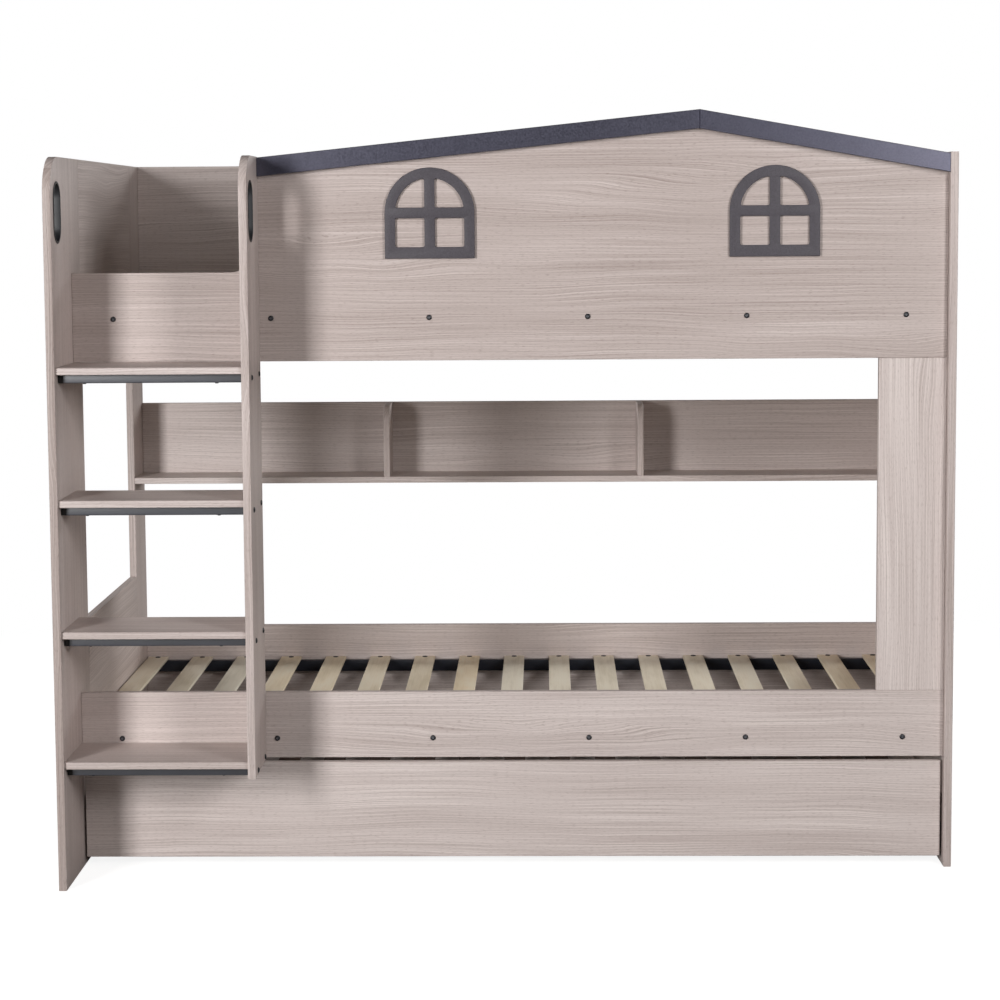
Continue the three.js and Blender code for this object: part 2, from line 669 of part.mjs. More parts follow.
// Wheel turned as one profile: flanged hub, thinner web and a crowned tyre.
function wheel() {
  const half = WHEEL_WIDTH / 2;
  const profile = [
    new THREE.Vector2(WHEEL_BORE, -half),
    new THREE.Vector2(HUB_RADIUS, -half),
    new THREE.Vector2(WEB_RADIUS, -half + WEB_SUNK),
    new THREE.Vector2(TYRE_INNER_RADIUS, -half + TYRE_SUNK),
    new THREE.Vector2(WHEEL_RADIUS - TYRE_SHOULDER, -half + TYRE_SUNK),
    new THREE.Vector2(WHEEL_RADIUS, -half + TYRE_CROWN_SUNK),
  ];
  const mirrored = profile.map((p) => new THREE.Vector2(p.x, -p.y)).reverse();
  const points = [...profile, ...mirrored, profile[0].clone()];
  return new THREE.LatheGeometry(points, AXLE_SIDES).rotateZ(-Math.PI / 2);
}

// Arched hood over the wheel, open below, with a hole for the axle in each cheek.
function housing() {
  function arch(radius, low) {
    const shape = new THREE.Shape();
    shape.moveTo(-radius, low - WHEEL_RADIUS);
    shape.lineTo(radius, low - WHEEL_RADIUS);
    shape.absarc(0, HOUSING_ARCH_LIFT, radius, 0, Math.PI, false);
    shape.closePath();
    return shape;
  }
  const hood = faceEnd(cutSheet(arch(HOUSING_RADIUS, HOUSING_LOW), HOUSING_WIDTH, 0, ARCH_SEGMENTS))
    .translate(-HOUSING_WIDTH / 2, 0, 0);
  const hollowWidth = HOUSING_WIDTH - 2 * HOUSING_WALL;
  const hollowArch = arch(HOUSING_RADIUS - HOUSING_WALL, HOUSING_LOW - CUT_OVERRUN);
  const hollow = faceEnd(cutSheet(hollowArch, hollowWidth, 0, ARCH_SEGMENTS))
    .translate(-hollowWidth / 2, 0, 0);
  const axleHole = rod('x', WHEEL_BORE, HOUSING_WIDTH + 2 * CUT_OVERRUN,
    -HOUSING_WIDTH / 2 - CUT_OVERRUN, 0, 0, AXLE_SIDES);
  return drill(hood, [hollow, axleHole]);
}

const wheelX = trundleBearerStart + HOUSING_WIDTH / 2;
const wheelY = [WHEEL_INSET_Y, TRUNDLE_DEPTH - WHEEL_INSET_Y];
for (const [side, x] of [['left', wheelX], ['right', INNER_LENGTH - wheelX]]) {
  for (const [index, end] of ['front', 'rear'].entries()) {
    const corner = new THREE.Group();
    corner.position.set(x, wheelY[index], WHEEL_RADIUS);
    trundle.add(corner);
    place(corner, `wheel_housing_${end}_${side}`, 'plastic', housing());
    place(corner, `wheel_axle_${end}_${side}`, 'steel',
      rod('x', AXLE_RADIUS, HOUSING_WIDTH, -HOUSING_WIDTH / 2, 0, 0, AXLE_SIDES));
    place(corner, `wheel_${end}_${side}`, 'plastic', wheel());
  }
}

// Middle of the footprint, bolt heads at the ladder end and at the back included.
const headProud = HEAD_HEIGHT + GAP;
const leftmost = -BOARD - headProud;
const rightmost = INNER_LENGTH + BOARD;
const frontmost = -LADDER_DEPTH;
const rearmost = BED_DEPTH + headProud;
bed.position.set(-(leftmost + rightmost) / 2, -(frontmost + rearmost) / 2, 0);

export default bed;
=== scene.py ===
import math
from functools import partial

import bmesh
import bpy
import numpy as np
from mathutils import Matrix, Vector


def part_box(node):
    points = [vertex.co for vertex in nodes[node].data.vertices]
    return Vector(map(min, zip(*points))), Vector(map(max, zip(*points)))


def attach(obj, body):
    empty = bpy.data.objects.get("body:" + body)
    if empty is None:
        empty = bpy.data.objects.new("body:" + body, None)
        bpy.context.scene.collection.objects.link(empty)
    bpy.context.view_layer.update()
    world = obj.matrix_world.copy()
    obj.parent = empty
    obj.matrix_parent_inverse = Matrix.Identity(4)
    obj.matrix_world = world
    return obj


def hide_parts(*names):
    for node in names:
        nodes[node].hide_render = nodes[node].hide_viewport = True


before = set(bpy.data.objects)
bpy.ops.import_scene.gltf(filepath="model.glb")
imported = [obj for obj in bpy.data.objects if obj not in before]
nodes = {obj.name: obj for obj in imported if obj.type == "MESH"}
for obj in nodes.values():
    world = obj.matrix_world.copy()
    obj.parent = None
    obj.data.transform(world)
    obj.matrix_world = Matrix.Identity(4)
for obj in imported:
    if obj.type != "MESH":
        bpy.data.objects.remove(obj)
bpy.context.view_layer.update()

# The bed's own corner: X runs from the ladder end's inner face, Y from the front rail's face
# and Z from the floor. Every size below is in millimetres from that corner.
corner = np.array([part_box("left_front_board")[1].x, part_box("front_rail")[0].y, 0.0])


def in_metres(points):
    """Millimetres from the bed's corner, turned into the frame's metres."""
    return np.asarray(points, float) * 0.001 + corner


# Camera: stands about five and a half metres in front of the rail, a little right of the bed's
# middle and one and a half metres above the floor, looking slightly down.
CAMERA_PLACE = (1084.563, -5482.069, 1508.463)
CAMERA_YAW = 0.02108
CAMERA_PITCH = 0.09529
CAMERA_ROLL = -0.00698
FOCAL_PIXELS = 2387.566
IMAGE_PIXELS = 1000.0
OPTICAL_CENTRE = (493.534, 447.390)
SENSOR = 36.0

sight = Vector((-math.sin(CAMERA_YAW) * math.cos(CAMERA_PITCH),
                math.cos(CAMERA_YAW) * math.cos(CAMERA_PITCH),
                -math.sin(CAMERA_PITCH)))
level = Vector((math.cos(CAMERA_YAW), math.sin(CAMERA_YAW), 0.0))
upward = level.cross(sight)
camera_x = math.cos(CAMERA_ROLL) * level + math.sin(CAMERA_ROLL) * upward
camera_y = math.cos(CAMERA_ROLL) * upward - math.sin(CAMERA_ROLL) * level
camera_data = bpy.data.cameras.new("photo_view")
camera_data.sensor_width = SENSOR
camera_data.lens = FOCAL_PIXELS * SENSOR / IMAGE_PIXELS
camera_data.shift_x = 0.5 - OPTICAL_CENTRE[0] / IMAGE_PIXELS
camera_data.shift_y = OPTICAL_CENTRE[1] / IMAGE_PIXELS - 0.5
camera_data.clip_end = 100.0
camera = bpy.data.objects.new("photo_view", camera_data)
bpy.context.scene.collection.objects.link(camera)
camera_turn = Matrix((camera_x, camera_y, -sight)).transposed().to_4x4()
camera.matrix_world = Matrix.Translation(Vector(in_metres(CAMERA_PLACE))) @ camera_turn
bpy.context.scene.camera = camera
bpy.context.scene.view_settings.view_transform = "Standard"


# Studio: a plain floor in pale grey paint, in a white room, under soft boxes to the left and to
# the right of the camera. The floor keeps the bed's soft shadow.
def add_node(tree, kind, inputs=(), stops=None, **settings):
    """Adds a node. settings are its own properties, inputs its sockets' values or links by place
    or name, where a node stands for its first output, and stops a ramp's places and colours."""
    node = tree.nodes.new(kind)
    for key, value in settings.items():
        setattr(node, key, value)
    for key, value in inputs.items() if isinstance(inputs, dict) else enumerate(inputs):
        if isinstance(value, bpy.types.Node):
            value = value.outputs[0]
        if isinstance(value, bpy.types.NodeSocket):
            tree.links.new(value, node.inputs[key])
        else:
            node.inputs[key].default_value = value
    if stops:
        elements = node.color_ramp.elements
        while len(elements) < len(stops):
            elements.new(0.5)
        for element, (place, colour) in zip(elements, stops):
            element.position = place
            element.color = colour
    return node


def new_material(name):
    """A material whose tree is still empty, and add_node for that tree."""
    material = bpy.data.materials.new(name)
    material.use_nodes = True
    material.node_tree.nodes.clear()
    return material, partial(add_node, material.node_tree)


def colour_of(sheet):
    """An sRGB hex colour as linear light: a power of 2.4, with the standard's straight foot."""
    share = np.array([int(sheet[i:i + 2], 16) / 255 for i in (1, 3, 5)])
    linear = np.where(share <= 0.04045, share / 12.92, ((share + 0.055) / 1.055) ** 2.4)
    return (*linear.tolist(), 1.0)


def seen_directly(add):
    """One where the camera looks at the surface, straight or through a clear piece, else nought."""
    path = add("ShaderNodeLightPath")
    return add("ShaderNodeMath", (path.outputs["Is Camera Ray"], path.outputs["Is Transmission Ray"]),
               operation="MAXIMUM")


WHITE = colour_of("#ffffff")
ROOM_LIGHT = 0.02
room = bpy.data.worlds.new("white_room")
room.use_nodes = True
room.node_tree.nodes.clear()
add_to_room = partial(add_node, room.node_tree)
room_light = add_to_room("ShaderNodeMapRange", {0: seen_directly(add_to_room), 3: ROOM_LIGHT, 4: 1.0})
backdrop = add_to_room("ShaderNodeBackground", (WHITE, room_light))
add_to_room("ShaderNodeOutputWorld", (backdrop,))
bpy.context.scene.world = room

# To the camera the paint glows almost to white round the bed, and from FADE_NEAR to FADE_FAR it
# turns to plain white. Under the bed the glow stops, each side over its own soft edge, so the floor
# over the bed's footprint is drawn darker than round it: painted shade under the bed.
FLOOR_HALF = 20.0
FLOOR_PAINT = colour_of("#9d9c9a")
FLOOR_GLOW = 0.87
FADE_NEAR, FADE_FAR = 1.6, 3.4
# The footprint of painted shade under the bed: its half width, front and rear, each with a soft edge.
UNDER_HALF, UNDER_HALF_SOFT = 1.0, 0.04
UNDER_FRONT, UNDER_FRONT_SOFT = corner[1] + 0.13, 0.12
UNDER_REAR, UNDER_REAR_SOFT = corner[1] + 0.93, 0.05


def painted_floor():
    """Diffuse paint with a glow that only the camera sees: nought under the bed, which leaves painted
    shade there, FLOOR_GLOW round it, and mixed into plain white with the distance from the bed's
    middle."""
    material, add = new_material("painted_floor")
    spot = add("ShaderNodeTexCoord").outputs["Object"]
    away = add("ShaderNodeVectorMath", (spot,), operation="LENGTH").outputs["Value"]
    fade = add("ShaderNodeMapRange", (away, FADE_NEAR, FADE_FAR), interpolation_type="SMOOTHSTEP")
    axes = add("ShaderNodeSeparateXYZ", (spot,))
    sideways = add("ShaderNodeMath", (axes.outputs[0],), operation="ABSOLUTE")
    between = add("ShaderNodeMapRange", (sideways, UNDER_HALF - UNDER_HALF_SOFT, UNDER_HALF, 1.0, 0.0),
                  interpolation_type="SMOOTHSTEP")
    behind_front = add("ShaderNodeMapRange", (axes.outputs[1], UNDER_FRONT, UNDER_FRONT + UNDER_FRONT_SOFT),
                       interpolation_type="SMOOTHSTEP")
    before_rear = add("ShaderNodeMapRange",
                      (axes.outputs[1], UNDER_REAR - UNDER_REAR_SOFT, UNDER_REAR, 1.0, 0.0),
                      interpolation_type="SMOOTHSTEP")
    # One over the bed's footprint, where the glow stops and the floor shows painted shade.
    under = add("ShaderNodeMath", (between, behind_front), operation="MULTIPLY")
    under = add("ShaderNodeMath", (under, before_rear), operation="MULTIPLY")
    glow = add("ShaderNodeMath", (under, -FLOOR_GLOW, FLOOR_GLOW), operation="MULTIPLY_ADD")
    direct = seen_directly(add)
    seen_glow = add("ShaderNodeMath", (direct, glow), operation="MULTIPLY")
    glowing = add("ShaderNodeEmission", (WHITE, seen_glow))
    paint = add("ShaderNodeBsdfDiffuse", (FLOOR_PAINT,))
    near_floor = add("ShaderNodeAddShader", (paint, glowing))
    far_floor = add("ShaderNodeEmission", (WHITE, 1.0))
    white_share = add("ShaderNodeMath", (direct, fade), operation="MULTIPLY")
    add("ShaderNodeOutputMaterial", (add("ShaderNodeMixShader", (white_share, near_floor, far_floor)),))
    return material


floor_mesh = bpy.data.meshes.new("floor")
floor_mesh.from_pydata([(-FLOOR_HALF, -FLOOR_HALF, 0), (FLOOR_HALF, -FLOOR_HALF, 0),
                        (FLOOR_HALF, FLOOR_HALF, 0), (-FLOOR_HALF, FLOOR_HALF, 0)], [], [(0, 1, 2, 3)])
floor_mesh.materials.append(painted_floor())
floor = bpy.data.objects.new("floor", floor_mesh)
bpy.context.scene.collection.objects.link(floor)

# The key is a tall box to the left, the fill another to the right and higher. Two boxes behind
# the bed stand for the lit white backdrop: they reach its ends and its back. Each box has its
# place and size in metres and its power in watts.
SOFT_BOX_AIM = Vector((0.0, 0.0, 0.9))
SOFT_BOXES = {
    "key": ((-3.10, -4.77, 1.90), (1.0, 2.1), 208.0),
    "fill": ((2.35, -3.60, 2.40), (0.8, 1.6), 81.0),
    "backdrop_left": ((-3.9, 4.6, 2.3), (2.0, 2.0), 128.0),
    "backdrop_right": ((3.9, 4.6, 2.3), (2.0, 2.0), 152.0),
}
for box_name, (box_place, box_size, watts) in SOFT_BOXES.items():
    lamp_data = bpy.data.lights.new(f"soft_box_{box_name}", "AREA")
    lamp_data.shape = "RECTANGLE"
    lamp_data.size, lamp_data.size_y = box_size
    lamp_data.energy = watts
    lamp = bpy.data.objects.new(f"soft_box_{box_name}", lamp_data)
    lamp.location = box_place
    lamp.rotation_euler = (SOFT_BOX_AIM - Vector(box_place)).to_track_quat("-Z", "Y").to_euler()
    lamp.visible_camera = False
    bpy.context.scene.collection.objects.link(lamp)


# Boards: 18 and 16 mm chipboard, faced and edged with melamine foil that is printed as pale ash
# with a pink-grey cast. The print gives thin wandering ring lines, fine fibres and short pores
# along the grain, and a satin face that follows them slightly.

# Each pattern of the print has a length along the grain and a width across it, in millimetres,
# and a noise detail. Fibres and pores are drawn two or three times as wide as they are, so that
# they show from the camera.
BEND, FLUTTER = (820.0, 210.0, 1.0), (170.0, 60.0, 1.0)
SWIRL, FIGURE = (210.0, 56.0, 0.0), (900.0, 150.0, 0.0)
FIBRE, LINE, PORE = (480.0, 1.9, 1.0), (520.0, 2.5, 1.0), (14.0, 1.2, 1.0)
STREAK, CLOUD = (900.0, 17.0, 1.0), (1100.0, 75.0, 1.0)
# How far the lines wander and how wide a ring is, how strongly each pattern shows, and the noise
# levels from which to which it fades in.
BEND_MM, FLUTTER_MM, SWIRL_MM = 46.0, 7.0, 24.0
RING_MM, RING_WOBBLE, RING_THIN = 6.4, 1.5, 5.0
FIBRE_SEEN, STREAK_SEEN, CLOUD_SEEN = 0.74, 0.07, 0.24
RING_SEEN, LINE_SEEN, PORE_SEEN = 0.08, 0.10, 0.16
MIDDLE_TONE = 0.66
FIGURE_FROM, FIGURE_TO = 0.54, 0.74
RING_FROM, RING_TO = 0.40, 0.62
LINE_FROM, LINE_TO = 0.30, 0.44
PORE_FROM, PORE_TO = 0.58, 0.68
PORE_DEEP, FOIL_RELIEF, FOIL_BUMP = 0.8, 0.0002, 0.25
FOIL_ROUGHNESS, FIBRE_ROUGHNESS, FOIL_IOR = 0.40, 0.16, 1.5
ASH_STOPS = ((0.0, colour_of("#867670")), (0.35, colour_of("#ad9e98")), (0.55, colour_of("#c3b5b0")),
             (1.0, colour_of("#f0e5e0")))
TURN_TO_X = {"x": (0, 0, 0), "y": (0, 0, -math.pi / 2), "z": (0, math.pi / 2, 0)}
AXIS = {"x": (1, 0, 0), "y": (0, 1, 0), "z": (0, 0, 1)}
EDGING_MOVED = (0.37, 0.11, 0.23)
MORE_THAN_HALF_TURNED = 0.71


def grain_noise(add, place, along_mm, across_mm, detail):
    """Noise stretched along the grain: the place is divided by the pattern's length and width."""
    shrunk = add("ShaderNodeVectorMath", (place, (1000 / along_mm, 1000 / across_mm, 1.0)),
                 operation="MULTIPLY")
    return add("ShaderNodeTexNoise", {"Vector": shrunk, "Scale": 1.0, "Detail": detail})


def ash_foil(name, grain, edge_grain, tone_shift=0.0, moved=0.0, painted_edge_shade=0.0):
    """Ash print with its grain along one axis. On the faces that the grain would meet end-on it
    runs along edge_grain, as the edge strip does. The tone shift lightens or darkens the whole
    foil, and moved is how many metres further along the print's width the board was cut. The
    edge shade darkens the long edges, where those face along edge_grain: painted shade on them."""
    material, add = new_material(name)
    spot = add("ShaderNodeTexCoord")

    def facing(axis):
        """One on the faces that look along an axis, either way, else nought."""
        way = add("ShaderNodeVectorMath", (spot.outputs["Normal"], AXIS[axis]), operation="DOT_PRODUCT")
        size = add("ShaderNodeMath", (way.outputs["Value"],), operation="ABSOLUTE")
        return add("ShaderNodeMath", (size, MORE_THAN_HALF_TURNED), operation="GREATER_THAN")

    face_way = add("ShaderNodeMapping", (spot.outputs["Object"], (0.0, moved, 0.0), TURN_TO_X[grain]))
    edge_way = add("ShaderNodeMapping", (spot.outputs["Object"], EDGING_MOVED, TURN_TO_X[edge_grain]))
    print_place = add("ShaderNodeMix", {0: facing(grain), 4: face_way, 5: edge_way},
                      data_type="VECTOR").outputs[1]

    # The print is flat: one coordinate along the grain, and one across it whichever way a face looks.
    axes = add("ShaderNodeSeparateXYZ", (print_place,))
    along = axes.outputs[0]
    across = add("ShaderNodeMath", (axes.outputs[1], axes.outputs[2]), operation="ADD")
    sheet = add("ShaderNodeCombineXYZ", (along, across, 0.0))
    bend, flutter = (grain_noise(add, sheet, *size) for size in (BEND, FLUTTER))
    swirl, figure = (grain_noise(add, sheet, *size) for size in (SWIRL, FIGURE))
    figure = add("ShaderNodeMapRange", (figure, FIGURE_FROM, FIGURE_TO), interpolation_type="SMOOTHSTEP")
    swirl = add("ShaderNodeMath", (swirl, figure), operation="MULTIPLY")
    for wander, reach_mm in ((bend, BEND_MM), (flutter, FLUTTER_MM), (swirl, SWIRL_MM)):
        across = add("ShaderNodeMath", (wander, reach_mm / 1000, across), operation="MULTIPLY_ADD")
    place = add("ShaderNodeCombineXYZ", (along, across, 0.0))

    fibre, line, pore = (grain_noise(add, place, *size) for size in (FIBRE, LINE, PORE))
    streak, cloud = (grain_noise(add, place, *size) for size in (STREAK, CLOUD))
    line = add("ShaderNodeMapRange", (line, LINE_FROM, LINE_TO, 1.0, 0.0), interpolation_type="SMOOTHSTEP")
    pore = add("ShaderNodeMapRange", (pore, PORE_FROM, PORE_TO), interpolation_type="SMOOTHSTEP")

    # A ring line darkens slowly to its rim and breaks off: a high power of the share of a ring width.
    wobble = add("ShaderNodeMath", (streak, RING_WOBBLE), operation="MULTIPLY")
    ring = add("ShaderNodeMath", (across, 1000 / RING_MM, wobble), operation="MULTIPLY_ADD")
    ring = add("ShaderNodeMath", (ring,), operation="FRACT")
    ring = add("ShaderNodeMath", (ring, RING_THIN), operation="POWER")
    ring_patch = add("ShaderNodeMapRange", (cloud, RING_FROM, RING_TO), interpolation_type="SMOOTHSTEP")
    ring_patch = add("ShaderNodeMath", (ring_patch, figure), operation="MAXIMUM")
    ring = add("ShaderNodeMath", (ring, ring_patch), operation="MULTIPLY")

    # The tone is the middle one plus each pattern by its share. Noise swings about one half.
    tone = MIDDLE_TONE + tone_shift - (FIBRE_SEEN + STREAK_SEEN - CLOUD_SEEN) / 2
    # The last pattern is the edge shade: painted shade on the long edges that face along edge_grain.
    for pattern, seen in ((fibre, FIBRE_SEEN), (streak, STREAK_SEEN), (cloud, -CLOUD_SEEN),
                          (ring, -RING_SEEN), (line, -LINE_SEEN), (pore, -PORE_SEEN),
                          (facing(edge_grain), painted_edge_shade)):
        tone = add("ShaderNodeMath", (pattern, seen, tone), operation="MULTIPLY_ADD")
    shade = add("ShaderNodeValToRGB", (tone,), stops=ASH_STOPS)
    height = add("ShaderNodeMath", (pore, -PORE_DEEP, fibre), operation="MULTIPLY_ADD")
    raised = add("ShaderNodeBump", {"Strength": FOIL_BUMP, "Distance": FOIL_RELIEF, "Height": height})
    rough = add("ShaderNodeMath", (fibre, FIBRE_ROUGHNESS, FOIL_ROUGHNESS), operation="MULTIPLY_ADD")
    foil = add("ShaderNodeBsdfPrincipled", {"Base Color": shade, "Roughness": rough, "IOR": FOIL_IOR,
                                            "Normal": raised})
    add("ShaderNodeOutputMaterial", (foil,))
    return material


def cover(node, material):
    """Gives a CAD piece one material."""
    slots = nodes[node].data.materials
    slots.clear()
    slots.append(material)


# Each foil has its grain, its edge strip's grain, its tone shift, how far along the print it is
# cut and its painted edge shade, and its boards.
FOILS = {
    "lengthways": ("x", "z", {"tone_shift": -0.005},
                   ("front_rail", "shelf_back", "shelf_bottom", "trundle_rear")),
    "guard": ("x", "z", {"tone_shift": -0.17}, ("front_guard",)),
    "rear": ("x", "z", {"tone_shift": -0.03}, ("rear_guard", "rear_rail")),
    "trundle": ("x", "z", {"tone_shift": 0.01}, ("trundle_front",)),
    "step": ("x", "z", {"tone_shift": -0.10}, ("step_1", "step_2", "step_3", "step_4")),
    "post": ("z", "y", {"tone_shift": 0.02}, ("right_front_post",)),
    # The upright boards and the leg board carry painted shade on their long front and rear edges.
    "upright": ("z", "y", {"tone_shift": -0.06, "painted_edge_shade": -0.10},
                ("rear_left_post", "right_end_panel", "ladder_stile_right", "shelf_divider_left",
                 "shelf_divider_right")),
    "leg": ("z", "y", {"tone_shift": -0.08, "moved": 0.43, "painted_edge_shade": -0.26}, ("left_front_board",)),
    "crossways": ("y", "z", {"tone_shift": -0.055},
                  ("left_upper_end_panel", "left_lower_end_panel", "trundle_left_side",
                   "trundle_right_side")),
}
foils = {}
for foil_name, (grain, edge_grain, foil_options, boards) in FOILS.items():
    foils[foil_name] = ash_foil(f"ash_foil_{foil_name}", grain, edge_grain, **foil_options)
    for board in boards:
        cover(board, foils[foil_name])


# Roof trim: the two boards under the gable's edge, faced with a coarse pearl-textured foil in
# dark slate grey whose mica flakes catch the soft boxes, mitred at the ridge and glued on. Its
# grit is drawn about twice as coarse as it is, so that it shows from the camera.
TRIM_GRIT_MM, TRIM_RELIEF = 4.2, 0.0002
SLATE_CLOUD_MM, SLATE_CLOUD_SEEN = 111.1, 0.35
SLATE_TONE_FROM, SLATE_TONE_TO = 0.48, 0.86
SLATE_SMOOTHER, SLATE_ROUGHER, SLATE_BUMP = 0.08, 0.10, 0.5


def slate_finish(name, dark, pale, grit_mm, roughness, relief, sheen=0.5, ior=1.5, tint="#ffffff"):
    """Slate grey skin whose fine grit varies its tone, its gloss and its height. sheen is 0.5
    for plain lacquer and more for a foil with mica in it, whose flakes also raise its ior and
    tint its gloss."""
    material, add = new_material(name)
    spot = add("ShaderNodeTexCoord").outputs["Object"]
    grit = add("ShaderNodeTexNoise", {"Vector": spot, "Scale": 1000 / grit_mm, "Detail": 2.0,
                                      "Roughness": 0.6})
    cloud = add("ShaderNodeTexNoise", {"Vector": spot, "Scale": 1000 / SLATE_CLOUD_MM, "Detail": 2.0})
    tone = add("ShaderNodeMath", (cloud, SLATE_CLOUD_SEEN, grit), operation="MULTIPLY_ADD")
    shade = add("ShaderNodeValToRGB", (tone,), stops=((SLATE_TONE_FROM, colour_of(dark)),
                                                      (SLATE_TONE_TO, colour_of(pale))))
    rough = add("ShaderNodeMapRange", {0: grit, 3: roughness - SLATE_SMOOTHER,
                                       4: roughness + SLATE_ROUGHER})
    raised = add("ShaderNodeBump", {"Strength": SLATE_BUMP, "Distance": relief, "Height": grit})
    skin = add("ShaderNodeBsdfPrincipled",
               {"Base Color": shade, "Roughness": rough, "IOR": ior, "Specular IOR Level": sheen,
                "Specular Tint": colour_of(tint), "Normal": raised})
    add("ShaderNodeOutputMaterial", (skin,))
    return material


pearl_foil = slate_finish("slate_pearl_foil", "#1c1c25", "#34343f", TRIM_GRIT_MM, 0.35, TRIM_RELIEF,
                          sheen=1.0, ior=1.76, tint="#dedcf6")
for board in ("roof_trim_left", "roof_trim_right"):
    cover(board, pearl_foil)


# Window frames: an arch with a sill and a cross of bars, cut in one from thin board, its edges
# rounded over, sprayed in matt slate grey lacquer and glued on the guard. The lacquer looks flat
# and a little dusty.
WINDOW_CENTRES = {"left": 826.5, "right": 1614.0}
WINDOW_LOW, WINDOW_HIGH, WINDOW_WIDTH = 1420.0, 1627.0, 206.0
WINDOW_BAR, WINDOW_SILL, CROSSBAR_Z = 24.0, 26.0, 1524.0
WINDOW_THICK, WINDOW_EASE = 7.7, 1.2
PANE_CORNER, FOOT_CORNER = 4.5, 1.5
RIM_POINTS, PANE_POINTS = 65, 33
SEAT_GAP = 0.3
PAINT_GRIT_MM, PAINT_RELIEF = 2.4, 0.0001
WAYS = {"x": (1, 0, 0), "y": (0, 1, 0), "z": (0, 0, 1),
        "-x": (-1, 0, 0), "-y": (0, -1, 0), "-z": (0, 0, -1)}


def seat(origin, across, up, along):
    """A function that puts points of (across, up, along) at an origin, in millimetres: each of
    the three runs along the bed's axis that is named for it."""
    axes = np.array([WAYS[across], WAYS[up], WAYS[along]], float)
    return lambda points: points @ axes + origin


def new_piece(name, shells, material, body, replaced=(), smooth_below=35.0):
    """Joins closed shells, each (points in millimetres, faces), into one piece of one material.
    Its normals are turned outwards, and it is shaded smooth up to an angle between faces."""
    points, faces, count = [], [], 0
    for shell_points, shell_faces in shells:
        points.append(np.asarray(shell_points, float))
        faces += [tuple(int(i) + count for i in face) for face in shell_faces]
        count += len(shell_points)
    mesh = bpy.data.meshes.new(name)
    mesh.from_pydata(in_metres(np.concatenate(points)).tolist(), [], faces)
    work = bmesh.new()
    work.from_mesh(mesh)
    bmesh.ops.recalc_face_normals(work, faces=work.faces)
    work.to_mesh(mesh)
    work.free()
    mesh.polygons.foreach_set("use_smooth", np.ones(len(mesh.polygons), bool))
    mesh.set_sharp_from_angle(angle=math.radians(smooth_below))
    mesh.materials.append(material)
    piece = bpy.data.objects.new(name, mesh)
    bpy.context.scene.collection.objects.link(piece)
    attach(piece, body)
    if replaced:
        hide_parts(*replaced)
    return piece


def arc(centre, radius, start, stop, count):
    """Points of a round from one angle to another, in degrees."""
    angle = np.radians(np.linspace(start, stop, count))
    return np.column_stack((centre[0] + radius * np.cos(angle), centre[1] + radius * np.sin(angle)))


def softened(outline, radius, sharper_than=35.0, count=5):
    """A closed outline whose corners are rounded: each turn sharper than an angle is replaced by
    a quadratic curve between the points one radius before and after it, pulled to the corner."""
    here = np.asarray(outline, float)
    ahead = np.roll(here, -1, 0) - here
    behind = here - np.roll(here, 1, 0)
    turn = np.degrees(np.abs(np.arctan2(behind[:, 0] * ahead[:, 1] - behind[:, 1] * ahead[:, 0],
                                        (behind * ahead).sum(1))))
    gone = np.concatenate(([0.0], np.cumsum(np.linalg.norm(ahead, axis=1))))
    total = gone[-1]
    loop = np.concatenate((here, here[:1]))

    def at(length):
        return np.column_stack([np.interp(np.mod(length, total), gone, loop[:, k]) for k in (0, 1)])

    corners = np.flatnonzero(turn > sharper_than)
    kept = np.ones(len(here), bool)
    for i in corners:
        away = np.abs(np.mod(gone[:-1] - gone[i] + total / 2, total) - total / 2)
        kept &= away > radius
    places, made = gone[:-1][kept], here[kept]
    t = np.linspace(0, 1, count)[:, None]
    for i in corners:
        first, last = at(np.array([gone[i] - radius])), at(np.array([gone[i] + radius]))
        bend = (1 - t) ** 2 * first + 2 * t * (1 - t) * here[i] + t ** 2 * last
        places = np.concatenate((places, np.mod(gone[i] + radius * (2 * t[:, 0] - 1), total)))
        made = np.concatenate((made, bend))
    return made[np.argsort(places, kind="stable")]


def cut_from_board(outlines, thickness, ease, placed):
    """A sheet cut along flat outlines (the first is the rim, the rest are holes), both faces
    eased by a small radius. placed turns (across, up, through the thickness) into millimetres."""
    curve = bpy.data.curves.new("cut", "CURVE")
    curve.dimensions = "2D"
    curve.fill_mode = "BOTH"
    curve.extrude = thickness / 2 - ease
    curve.bevel_depth = ease
    curve.offset = -ease
    curve.bevel_resolution = 2
    for outline in outlines:
        spline = curve.splines.new("POLY")
        spline.points.add(len(outline) - 1)
        flat = np.zeros((len(outline), 4))
        flat[:, :2] = outline
        flat[:, 3] = 1
        spline.points.foreach_set("co", flat.ravel())
        spline.use_cyclic_u = True
    maker = bpy.data.objects.new("cut", curve)
    bpy.context.scene.collection.objects.link(maker)
    graph = bpy.context.evaluated_depsgraph_get()
    sheet = bpy.data.meshes.new_from_object(maker.evaluated_get(graph))
    bpy.data.objects.remove(maker)
    work = bmesh.new()
    work.from_mesh(sheet)
    bmesh.ops.remove_doubles(work, verts=work.verts, dist=0.001)
    work.to_mesh(sheet)
    work.free()
    points = np.empty(len(sheet.vertices) * 3)
    sheet.vertices.foreach_get("co", points)
    return placed(points.reshape(-1, 3)), [tuple(face.vertices) for face in sheet.polygons]


